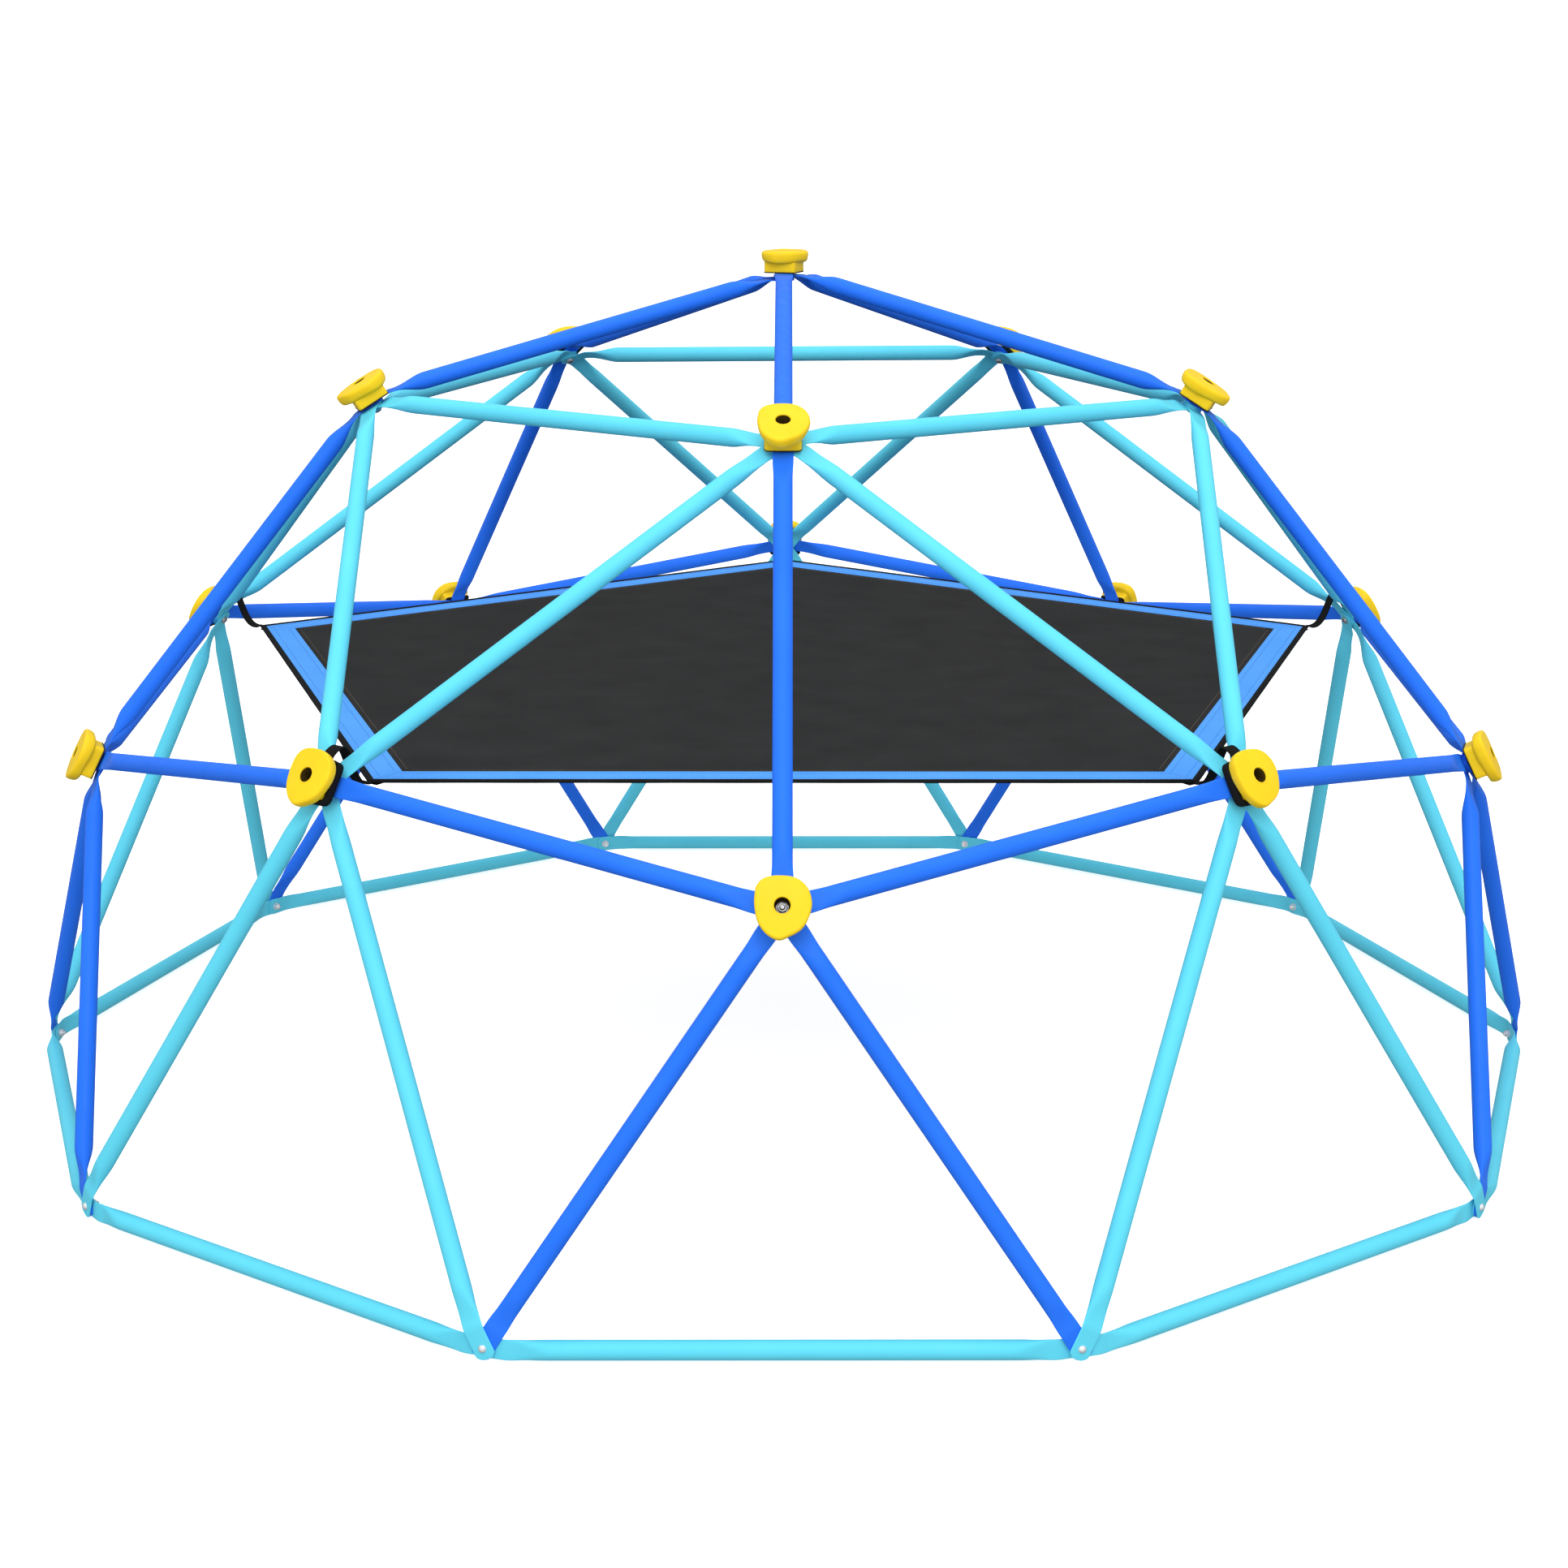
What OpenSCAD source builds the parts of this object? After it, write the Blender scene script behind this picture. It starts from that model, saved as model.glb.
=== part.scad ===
// Geodesic dome climber: a hemisphere of bolted steel struts with flattened ends,
// a climbing grip on every upper hub, and a five-sided hammock mat hung inside it.
// Millimetres, +Z up. The origin is on the ground, under the middle of the dome.
// Angles around the dome are measured from the front, which faces -Y, towards +X.

/* [Dome] */
// Radius of the base ring, measured to its bolts
base_radius = 1500; // [1350:10:1800]
// Radius of the five upper hubs
upper_radius = 796; // [660:1:960]
// Height of the upper hubs above the base bolts
upper_height = 1320; // [1150:1:1400]
// Radius of the five vertex hubs, where only blue struts meet
vertex_radius = 1329; // [1200:1:1440]
// Height of the vertex hubs above the base bolts
vertex_height = 679; // [560:1:820]
// Radius of the five mid hubs, which carry the mat
mid_radius = 1261; // [1200:1:1440]
// Height of the mid hubs above the base bolts
mid_height = 795; // [680:1:900]
// Height of the top hub above the base bolts
top_height = 1537; // [1480:1:1850]

/* [Struts] */
// Outer diameter of the strut tube
tube_d = 32; // [26:1:38]
// Wall of the strut tube
tube_wall = 1.5; // [1:0.1:2.5]
// Width of the flattened end of a strut
end_w = 38; // [34:1:40]
// Distance from the bolt to the bend of a flattened end
end_flat = 36; // [36:1:50]
// Length over which the flattened end turns round
taper_len = 64; // [40:1:110]
// Radial clearance of every bolt in its hole
bolt_play = 0.5; // [0.2:0.1:1]
// Gap between two flattened ends that are bolted together
face_gap = 0.08; // [0.04:0.01:0.2]

/* [Fasteners] */
// Diameter of every bolt
bolt_d = 8; // [6:1:10]
// Diameter of the button head inside an upper hub
button_d = 16; // [14:1:20]
// Height of the button head
button_h = 5; // [4:0.5:7]
// Width across the flats of the button head's socket
socket_af = 5; // [4:0.5:6]
// Diameter of the domed head outside a base hub
dome_head_d = 14; // [13:0.5:20]
// Height of the domed head
dome_head_h = 5; // [3:0.5:6]
// Width across the flats of every nut
nut_af = 13; // [12:0.5:17]
// Height of every nut
nut_h = 6.5; // [5:0.5:9]
// Length of bolt that stands out of its nut
bolt_end = 4; // [2:0.5:6]
// Outer diameter of the washer inside a grip
grip_washer_d = 20; // [17:0.5:23]
// Outer diameter of the washer at a base hub
base_washer_d = 17; // [16:0.5:24]
// Thickness of every washer
washer_t = 1.6; // [1:0.1:2.5]

/* [Grips] */
// Mean radius of a grip's head
grip_r = 47; // [42:0.5:57]
// How much longer a grip's head is than it is wide, as a change of radius
grip_stretch = 2; // [0:0.5:4]
// Height of the three soft lobes of a grip's head
grip_lobe = 2.2; // [0:0.2:4]
// Thickness of a grip's head
head_h = 22; // [16:1:28]
// Rounding of the rim of a grip's head, made as two steps
head_edge = 4; // [2:0.5:6]
// Width of the four-sided neck of a grip
neck_w = 62; // [50:1:66]
// Radius of the neck's corners
neck_corner = 6; // [3:1:16]
// Height of the neck
neck_h = 20; // [19:1:30]
// Diameter of the recess that the grip's nut sits in
recess_d = 25; // [24:0.5:32]
// Thickness of the grip under its recess
recess_floor = 14; // [8:1:18]
// Thickness of the rubber pad under a grip
pad_t = 2; // [1:0.5:4]
// Amount by which the rubber pad stands out round the neck
pad_rim = 0.6; // [0:0.1:2]
// Angle by which the top hub's grip is turned, clockwise from above
apex_turn = 18; // [0:1:90]

/* [Mat] */
// Distance of the mat's top face below the middle of the mid hubs
mat_drop = 12; // [0:1:80]
// Level distance from the middle of a mid hub to the mat's corner
corner_reach = 94; // [80:1:200]
// Width of the mat's border band
border_w = 54; // [40:1:70]
// Width of the binding round the mat
edging_w = 12; // [8:1:16]
// Thickness of the binding
edging_t = 6; // [5:0.5:8]
// Thickness of the mat's fabric panel
panel_t = 2; // [1.5:0.5:3]
// Thickness of the border band
border_t = 1.5; // [1:0.5:2]
// Width of the seam where the border lies on the panel
seam_w = 14; // [8:1:25]

/* [Straps] */
// Width of a corner strap
strap_w = 25; // [20:1:30]
// Thickness of a corner strap
strap_t = 3; // [2:0.5:4]
// Height of the loop round a grip's neck
loop_h = 17; // [12:1:18]
// Thickness of the loop, whose webbing goes round the neck twice
loop_t = 6.5; // [4:0.5:9]
// Gap between the loop and the neck
loop_gap = 0.4; // [0.2:0.1:1.5]
// Distance above the hub at which the strap passes between the braces
gate_up = 68; // [62:1:90]
// Gap between a strap's end and the mat
strap_gap = 0.6; // [0.4:0.1:2]

/* [Hidden] */
sides = 5;
turn = 360 / sides;
half_turn = turn / 2;
base_turn = turn / 2;
first_base = turn / 4;
$fn = 64;
eps = 0.01;

tube_r = tube_d / 2;
end_r = end_w / 2;
plate_t = 2 * tube_wall;
// The taper's flat faces end just outside the round tube, so that they never touch it at a tangent
taper_over = 0.6;
// The flat end runs this far past the bend, into the taper
knee_lap = 3;
// The hollow starts this far up the taper
hollow_start = 5;
hole_r = bolt_d / 2 + bolt_play;
base_z = end_r;
centre = [0, 0, base_z];

blue = [0.18, 0.49, 1];
cyan = [0.39, 0.88, 1];
yellow = [1, 0.88, 0.14];
charcoal = [0.19, 0.19, 0.19];
border_blue = [0.33, 0.65, 1];
webbing = [0.08, 0.08, 0.07];
rubber = [0.05, 0.05, 0.05];
steel = [0.8, 0.81, 0.83];

// The number of strut ends stacked on one hub of each kind
top_stack = 5;
upper_stack = 6;
vertex_stack = 5;
mid_stack = 6;
base_stack = 4;

/* Places of the hubs, and the frame of each */
function on_ring(radius, height, angle) = [radius * sin(angle), -radius * cos(angle), height + base_z];
function top_hub() = [0, 0, top_height + base_z];
function upper_hub(k) = on_ring(upper_radius, upper_height, turn * (k - 1));
function vertex_hub(k) = on_ring(vertex_radius, vertex_height, turn * (k - 1));
function mid_hub(k) = on_ring(mid_radius, mid_height, turn * (k - 1) + half_turn);
// Base hub 1 is the first one to the right of the front, and they count round the dome
function base_hub(j) = on_ring(base_radius, 0, first_base + base_turn * (j - 1));

function unit(v) = v / norm(v);
function hub_normal(p) = unit(p - centre);
function across(v, n) = unit(v - (v * n) * n);
function hub_up(p) = norm([p[0], p[1]]) < 1 ? [0, 1, 0] : across([0, 0, 1], hub_normal(p));
// Height of one end in a stack of ends, from the middle of the stack; place 1 is the outermost
function stack_level(place, count) = ((count + 1) / 2 - place) * (plate_t + face_gap);
// What bears on a stack lies half a gap off its outermost end
function stack_top(count) = count * (plate_t + face_gap) / 2;
// Two struts drawn together never have neighbouring places, so that they stay two pieces

module in_frame(origin, x, y, z) {
    multmatrix([[x[0], y[0], z[0], origin[0]],
                [x[1], y[1], z[1], origin[1]],
                [x[2], y[2], z[2], origin[2]],
                [0, 0, 0, 1]])
        children();
}

// The frame of a hub: +Z out of the dome, +Y up the dome
module at_hub(p) {
    n = hub_normal(p);
    up = hub_up(p);
    in_frame(p, cross(up, n), up, n) children();
}

/* Struts */
// One flattened end, in the hub's tangent plane, running along +Z from the bolt; its face looks along X
module end_plate() {
    rotate([0, -90, 0])
        translate([0, 0, -plate_t / 2])
            linear_extrude(plate_t)
                union() {
                    circle(r = end_r);
                    translate([0, -end_r])
                        square([end_flat + knee_lap, end_w]);
                }
}

// A taper from a flat end at z = 0 to a round tube at z = taper_len
module taper(flat_r, round_r, flat_half, round_half, start) {
    intersection() {
        cylinder(h = taper_len, r1 = flat_r, r2 = round_r);
        rotate([90, 0, 0])
            translate([0, 0, -end_w])
                linear_extrude(2 * end_w)
                    polygon([[-flat_half, start], [flat_half, start],
                             [round_half, taper_len], [-round_half, taper_len]]);
    }
}

// A tube along +Z with a taper at each end
module tapered_tube(length, flat_r, round_r, flat_half, round_half, start) {
    taper(flat_r, round_r, flat_half, round_half, start);
    translate([0, 0, taper_len])
        cylinder(h = length - 2 * taper_len, r = round_r);
    translate([0, 0, length])
        mirror([0, 0, 1])
            taper(flat_r, round_r, flat_half, round_half, start);
}

// A strut from hub p to hub q, with its ends at the given levels in the two stacks
module strut(p, q, level_p, level_q) {
    normal_p = hub_normal(p);
    normal_q = hub_normal(q);
    bolt_p = p + level_p * normal_p;
    bolt_q = q + level_q * normal_q;
    run_p = across(bolt_q - bolt_p, normal_p);
    run_q = across(bolt_p - bolt_q, normal_q);
    knee_p = bolt_p + end_flat * run_p;
    knee_q = bolt_q + end_flat * run_q;
    axis = unit(knee_q - knee_p);
    outward = across(normal_p + normal_q, axis);
    length = norm(knee_q - knee_p);
    slope = (tube_r + taper_over - plate_t / 2) / taper_len;
    difference() {
        union() {
            in_frame(bolt_p, normal_p, cross(run_p, normal_p), run_p) end_plate();
            in_frame(bolt_q, normal_q, cross(run_q, normal_q), run_q) end_plate();
            in_frame(knee_p, outward, cross(axis, outward), axis)
                tapered_tube(length, end_r, tube_r, plate_t / 2, tube_r + taper_over, 0);
        }
        in_frame(knee_p, outward, cross(axis, outward), axis)
            tapered_tube(length, end_r - tube_wall, tube_r - tube_wall,
                         slope * hollow_start, slope * taper_len, hollow_start);
        in_frame(bolt_p, run_p, cross(normal_p, run_p), normal_p)
            cylinder(h = 2 * plate_t, r = hole_r, center = true);
        in_frame(bolt_q, run_q, cross(normal_q, run_q), normal_q)
            cylinder(h = 2 * plate_t, r = hole_r, center = true);
    }
}

// The five struts that fan out from the top hub
module apex_strut(k) {
    color(blue)
        strut(top_hub(), upper_hub(k), stack_level(k, top_stack), stack_level(1, upper_stack));
}

// The strut from an upper hub straight down to a vertex hub
module upper_strut(k) {
    color(blue)
        strut(upper_hub(k), vertex_hub(k), stack_level(2, upper_stack), stack_level(1, vertex_stack));
}

// The ring of five struts round the top
module top_ring_strut(k) {
    color(cyan)
        strut(upper_hub(k), upper_hub(k + 1), stack_level(4, upper_stack), stack_level(6, upper_stack));
}

// Two struts from an upper hub down to the mid hubs on each side
module upper_brace_pair(k) {
    color(cyan) {
        strut(upper_hub(k), mid_hub(k), stack_level(3, upper_stack), stack_level(3, mid_stack));
        strut(upper_hub(k), mid_hub(k - 1), stack_level(5, upper_stack), stack_level(5, mid_stack));
    }
}

// Two struts from a vertex hub up to the mid hubs on each side
module band_strut_pair(k) {
    color(blue) {
        strut(vertex_hub(k), mid_hub(k), stack_level(2, vertex_stack), stack_level(1, mid_stack));
        strut(vertex_hub(k), mid_hub(k - 1), stack_level(4, vertex_stack), stack_level(2, mid_stack));
    }
}

// Two legs from a vertex hub down to the base ring
module vertex_leg_pair(k) {
    color(blue) {
        strut(vertex_hub(k), base_hub(2 * k - 1), stack_level(3, vertex_stack), stack_level(2, base_stack));
        strut(vertex_hub(k), base_hub(2 * k - 2), stack_level(5, vertex_stack), stack_level(2, base_stack));
    }
}

// Two legs from a mid hub down to the base ring
module brace_leg_pair(k) {
    color(cyan) {
        strut(mid_hub(k), base_hub(2 * k - 1), stack_level(4, mid_stack), stack_level(1, base_stack));
        strut(mid_hub(k), base_hub(2 * k), stack_level(6, mid_stack), stack_level(1, base_stack));
    }
}

// Two rails of the base ring that face each other across the dome
module base_rail_pair(k) {
    color(cyan)
        for (j = [k - 1, k - 1 + sides])
            strut(base_hub(j), base_hub(j + 1), stack_level(3, base_stack), stack_level(4, base_stack));
}

/* Grips, drawn in the hub's frame with z = 0 on the rubber pad */
function grip_radius(angle) = grip_r
    + grip_stretch * cos(2 * angle)
    - grip_lobe * cos(3 * angle);

module head_outline(inset) {
    step = 10;
    polygon([for (a = [0 : step : 360 - step])
        (grip_radius(a) - inset) * [sin(a), cos(a)]]);
}

module neck_outline(grow) {
    half = neck_w / 2 + grow;
    corner = neck_corner + grow;
    union() {
        square([2 * half, 2 * (half - corner)], center = true);
        square([2 * (half - corner), 2 * half], center = true);
        for (x = [-1, 1], y = [-1, 1])
            translate([x * (half - corner), y * (half - corner)])
                circle(r = corner);
    }
}

module grip() {
    difference() {
        union() {
            linear_extrude(neck_h) neck_outline(0);
            translate([0, 0, neck_h]) {
                linear_extrude(head_edge) head_outline(head_edge / 2);
                translate([0, 0, head_edge])
                    linear_extrude(head_h - 2 * head_edge) head_outline(0);
                translate([0, 0, head_h - head_edge])
                    linear_extrude(head_edge) head_outline(head_edge);
            }
        }
        translate([0, 0, -eps]) cylinder(h = recess_floor + 2 * eps, r = hole_r);
        translate([0, 0, recess_floor]) cylinder(h = neck_h + head_h, d = recess_d);
    }
}

module grip_at(p, count) {
    at_hub(p) translate([0, 0, stack_top(count) + pad_t]) grip();
}

module apex_grip() {
    color(yellow) rotate([0, 0, -apex_turn]) grip_at(top_hub(), top_stack);
}

module upper_grips() {
    color(yellow) for (k = [1 : sides]) grip_at(upper_hub(k), upper_stack);
}

module vertex_grips() {
    color(yellow) for (k = [1 : sides]) grip_at(vertex_hub(k), vertex_stack);
}

module mid_grips() {
    color(yellow) for (k = [1 : sides]) grip_at(mid_hub(k), mid_stack);
}

/* Fasteners */
// Draws its child on the hubs where five struts meet, or on those where six do,
// with z = 0 in the middle of the hub's stack
module on_grip_hubs(five) {
    if (five) {
        at_hub(top_hub()) children();
        for (k = [1 : sides]) at_hub(vertex_hub(k)) children();
    } else {
        for (k = [1 : sides]) {
            at_hub(upper_hub(k)) children();
            at_hub(mid_hub(k)) children();
        }
    }
}

module on_base_hubs() {
    for (j = [1 : 2 * sides]) at_hub(base_hub(j)) children();
}

module hex_nut() {
    difference() {
        cylinder(h = nut_h, d = nut_af / cos(30), $fn = 6);
        translate([0, 0, -eps]) cylinder(h = nut_h + 2 * eps, d = bolt_d + bolt_play / 2);
    }
}

module washer(outer_d) {
    difference() {
        cylinder(h = washer_t, d = outer_d);
        translate([0, 0, -eps]) cylinder(h = washer_t + 2 * eps, r = hole_r);
    }
}

module grip_pad(count) {
    translate([0, 0, stack_top(count)])
        difference() {
            linear_extrude(pad_t) neck_outline(pad_rim);
            translate([0, 0, -eps]) cylinder(h = pad_t + 2 * eps, r = hole_r);
        }
}

// A button-headed bolt from inside the dome, through the stack, the pad and the grip
module grip_bolt(count) {
    under_head = -stack_top(count);
    length = 2 * stack_top(count) + pad_t + recess_floor + washer_t + nut_h + bolt_end;
    translate([0, 0, under_head]) cylinder(h = length, d = bolt_d);
    translate([0, 0, under_head - button_h])
        difference() {
            cylinder(h = button_h, d1 = 0.7 * button_d, d2 = button_d);
            translate([0, 0, -eps])
                cylinder(h = button_h / 2, d = socket_af / cos(30), $fn = 6);
        }
}

function grip_washer_z(count) = stack_top(count) + pad_t + recess_floor;

// A domed bolt from outside the dome, through the stack of the base hub
module base_bolt() {
    sphere_r = (pow(dome_head_d / 2, 2) + pow(dome_head_h, 2)) / (2 * dome_head_h);
    length = 2 * stack_top(base_stack) + washer_t + nut_h + bolt_end;
    translate([0, 0, stack_top(base_stack) - length]) cylinder(h = length, d = bolt_d);
    translate([0, 0, stack_top(base_stack)])
        intersection() {
            translate([0, 0, dome_head_h - sphere_r]) sphere(r = sphere_r);
            cylinder(h = dome_head_h + 1, d = dome_head_d + 1);
        }
}

module grip_pads() {
    color(rubber) {
        rotate([0, 0, -apex_turn]) at_hub(top_hub()) grip_pad(top_stack);
        for (k = [1 : sides]) {
            at_hub(vertex_hub(k)) grip_pad(vertex_stack);
            at_hub(upper_hub(k)) grip_pad(upper_stack);
            at_hub(mid_hub(k)) grip_pad(mid_stack);
        }
    }
}

module grip_bolts() {
    color(steel) {
        on_grip_hubs(true) grip_bolt(top_stack);
        on_grip_hubs(false) grip_bolt(upper_stack);
    }
}

module grip_washers() {
    color(steel) {
        on_grip_hubs(true) translate([0, 0, grip_washer_z(top_stack)]) washer(grip_washer_d);
        on_grip_hubs(false) translate([0, 0, grip_washer_z(upper_stack)]) washer(grip_washer_d);
    }
}

module grip_nuts() {
    color(steel) {
        on_grip_hubs(true) translate([0, 0, grip_washer_z(top_stack) + washer_t]) hex_nut();
        on_grip_hubs(false) translate([0, 0, grip_washer_z(upper_stack) + washer_t]) hex_nut();
    }
}

module base_bolts() {
    color(steel) on_base_hubs() base_bolt();
}

module base_washers() {
    color(steel)
        on_base_hubs()
            translate([0, 0, -stack_top(base_stack) - washer_t]) washer(base_washer_d);
}

module base_nuts() {
    color(steel)
        on_base_hubs()
            translate([0, 0, -stack_top(base_stack) - washer_t - nut_h]) hex_nut();
}

/* Mat: a pentagon whose corners point at the mid hubs */
module pentagon(apothem) {
    polygon([for (k = [0 : sides - 1])
        apothem / cos(half_turn) * [sin(turn * k + half_turn), -cos(turn * k + half_turn)]]);
}

module pentagon_band(inner, outer, bottom, height) {
    translate([0, 0, bottom])
        linear_extrude(height)
            difference() {
                pentagon(outer);
                pentagon(inner);
            }
}

mat_top = mid_height + base_z - mat_drop;
mat_outer = (mid_radius - corner_reach) * cos(half_turn);
border_outer = mat_outer - edging_w;
panel_apothem = border_outer - border_w;

module mat_panel() {
    color(charcoal)
        translate([0, 0, mat_top - border_t - panel_t])
            linear_extrude(panel_t) pentagon(panel_apothem + seam_w);
}

module mat_border() {
    color(border_blue) pentagon_band(panel_apothem, border_outer, mat_top - border_t, border_t);
}

module mat_edging() {
    color(webbing) pentagon_band(border_outer, mat_outer, mat_top - edging_t + border_t, edging_t);
}

/* Corner straps, drawn in the mid hub's upright plane: x is outward from the dome's axis, y is up */
function bezier(a, b, c, d, t) =
    pow(1 - t, 3) * a + 3 * t * pow(1 - t, 2) * b + 3 * t * t * (1 - t) * c + pow(t, 3) * d;

strap_steps = 8;
// The hub's own directions in that plane: out of the dome, and up along it
mid_out = unit([mid_radius, mid_height]);
mid_up = [-mid_out[1], mid_out[0]];
mid_centre = [mid_radius, mid_height + base_z];
mat_corner = [mat_outer / cos(half_turn), mat_top];
strap_start = mat_corner + [strap_gap, -strap_t / 2];
gate = mid_centre + gate_up * mid_up;
loop_level = stack_top(mid_stack) + pad_t + (neck_h - loop_h) / 2;
loop_side = neck_w / 2 + loop_gap + loop_t;
strap_finish = mid_centre + (loop_side - strap_t / 2) * mid_up + (loop_level + loop_h / 2) * mid_out;

strap_line = concat(
    [for (i = [0 : strap_steps - 1])
        bezier(strap_start, strap_start + [34, -4], gate - 34 * mid_out - 4 * mid_up, gate, i / strap_steps)],
    [for (i = [0 : strap_steps])
        bezier(gate, gate + 20 * mid_out, strap_finish + 16 * mid_up, strap_finish, i / strap_steps)]);

function line_normal(line, i) =
    let (a = line[max(i - 1, 0)], b = line[min(i + 1, len(line) - 1)], d = unit(b - a))
    [-d[1], d[0]];

module strap_profile(line) {
    last = len(line) - 1;
    polygon(concat(
        [for (i = [0 : last]) line[i] + strap_t / 2 * line_normal(line, i)],
        [for (i = [last : -1 : 0]) line[i] - strap_t / 2 * line_normal(line, i)]));
}

module corner_strap(k) {
    color(webbing) {
        rotate([0, 0, turn * (k - 1) + half_turn - 90])
            rotate([90, 0, 0])
                translate([0, 0, -strap_w / 2])
                    linear_extrude(strap_w) strap_profile(strap_line);
        at_hub(mid_hub(k))
            translate([0, 0, loop_level])
                linear_extrude(loop_h)
                    difference() {
                        neck_outline(loop_gap + loop_t);
                        neck_outline(loop_gap);
                    }
    }
}

function numbered(name) = [for (k = [1 : sides]) str(name, "_", k)];

for (k = [1 : sides]) {
    apex_strut(k);
    upper_strut(k);
    top_ring_strut(k);
    upper_brace_pair(k);
    band_strut_pair(k);
    vertex_leg_pair(k);
    brace_leg_pair(k);
    base_rail_pair(k);
    corner_strap(k);
}
apex_grip();
upper_grips();
vertex_grips();
mid_grips();
grip_pads();
grip_bolts();
grip_washers();
grip_nuts();
base_bolts();
base_washers();
base_nuts();
mat_panel();
mat_border();
mat_edging();
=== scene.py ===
"""A geodesic dome climber: painted steel struts with flattened ends, moulded climbing grips
on the upper hubs, and a five-sided hammock mat hung inside the dome on webbing straps.

Metres, +Z up, with the origin on the ground under the middle of the dome. Angles around the
dome are measured from the front, which faces -Y, towards +X.
"""
from collections import namedtuple
from math import atan2, ceil, cos, pi, radians, sin, sqrt, tau

import bmesh
import bpy
from mathutils import Matrix, Vector


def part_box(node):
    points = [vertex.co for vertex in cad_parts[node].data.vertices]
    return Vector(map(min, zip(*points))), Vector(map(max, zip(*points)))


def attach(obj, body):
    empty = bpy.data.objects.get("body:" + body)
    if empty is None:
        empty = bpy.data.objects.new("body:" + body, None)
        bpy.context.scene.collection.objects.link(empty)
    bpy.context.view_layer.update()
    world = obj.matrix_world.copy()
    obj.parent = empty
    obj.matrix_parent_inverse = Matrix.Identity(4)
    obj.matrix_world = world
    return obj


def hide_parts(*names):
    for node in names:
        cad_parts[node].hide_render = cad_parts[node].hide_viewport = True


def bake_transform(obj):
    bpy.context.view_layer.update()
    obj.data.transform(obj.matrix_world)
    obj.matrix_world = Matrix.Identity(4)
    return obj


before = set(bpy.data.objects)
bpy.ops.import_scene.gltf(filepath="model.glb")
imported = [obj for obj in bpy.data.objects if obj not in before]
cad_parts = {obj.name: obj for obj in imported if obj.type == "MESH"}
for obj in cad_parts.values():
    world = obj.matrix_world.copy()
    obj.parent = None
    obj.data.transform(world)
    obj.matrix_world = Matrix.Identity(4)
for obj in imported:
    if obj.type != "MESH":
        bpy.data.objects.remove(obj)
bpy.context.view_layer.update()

MM = 0.001
SIDES = 5
TURN = tau / SIDES
HALF_TURN = TURN / 2

# Struts
TUBE_R = 16 * MM
PLATE_T = 3 * MM
FACE_GAP = 0.08 * MM
END_R = 17.5 * MM
WIDTH_HASTE = 1.9
END_FLAT = 36 * MM
TIP_REACH = 18.4 * MM
TIP_FLAT = 10 * MM
TIP_ROUND = 3.5 * MM
BEND = 7 * MM
TAPER = 72 * MM
FLAT_POWER = 5
STRUT_POINTS = 32

# Ends stacked on one hub of each kind
TOP_STACK = 5
UPPER_STACK = 6
VERTEX_STACK = 5
MID_STACK = 6
BASE_STACK = 4

# Grips, in millimetres until they are placed
NECK_W = 62
NECK_CORNER = 6
NECK_H = 20
GRIP_TOP = 42
RECESS_R = 12.5
RECESS_FLOOR = 14
BORE_R = 4.5
PAD_T = 2
PAD_RIM = 0.6
APEX_TURN = radians(18)
GRIP_POINTS = 96

# Fasteners, in millimetres until they are placed
BOLT_R = 4
THREAD_PITCH = 1.25
THREAD_DEPTH = 0.55
BOLT_END = 4
NUT_AF = 13
NUT_H = 6.5
WASHER_T = 1.6
GRIP_WASHER_R = 10
BASE_WASHER_R = 8.5
BUTTON_R = 8
BUTTON_H = 5
BUTTON_FACE_R = 4.2
BUTTON_LAND = 0.7
BUTTON_CROWN = 68
SOCKET_AF = 5
DOME_R = 7
DOME_H = 5
FASTENER_POINTS = 48

# Mat
BORDER_W = 54 * MM
BORDER_PUFF = 0.5 * MM
STITCH_SHARES = (0.22, 0.78)
PANEL_STITCH_IN = 11 * MM
PANEL_SAG = 3 * MM
STITCH_PITCH = 5 * MM
STITCH_LENGTH = 3.6 * MM
STITCH_R = 0.45 * MM

# Sections of one stitch: share of its length, share of its radius, and lift in radii
STITCH_SECTIONS = ((0, 0.35, -0.8), (0.18, 0.9, 0.1), (0.5, 1, 0.5), (0.82, 0.9, 0.1), (1, 0.35, -0.8))

# Straps
STRAP_W = 25 * MM
STRAP_T = 2.6 * MM
LOOP_GAP = 0.4
LOOP_T = 6.5
LOOP_H = 17
GATE_UP = 68 * MM
STRAP_GAP = 0.6 * MM

# Outline of the webbing's section, in half widths and half thicknesses
STRAP_SECTION = ((-1, -1), (-0.5, -1), (0, -1), (0.5, -1), (1, -1),
                 (1, 1), (0.5, 1), (0, 1), (-0.5, 1), (-1, 1))

# Pulls that shape the strap's curve, outwards and upwards, in millimetres
CORNER_PULL = (36, -6)
GATE_PULL_IN = (28, 5)
GATE_PULL_OUT = 13
LOOP_PULL = 9

# Stage and light
FLOOR_HALF = 30
FLOOR_GLOW = 0.7
SURROUND_R = 60
SURROUND_GLOW = 1.05
LIGHT_FROM = (0, -0.62, 0.78)
LIGHT_WEAKEST = 0.12
LIGHT_STRONGEST = 1.15


def unit(v):
    return v.normalized()


def across(v, n):
    """The part of v at right angles to n, as a unit vector."""
    return (v - v.dot(n) * n).normalized()


def mix(a, b, share):
    return a + (b - a) * share


def smooth(share):
    return share * share * (3 - 2 * share)


# ---------------------------------------------------------------- hubs, from the frame

Hub = namedtuple("Hub", "centre normal up stack")


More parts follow.
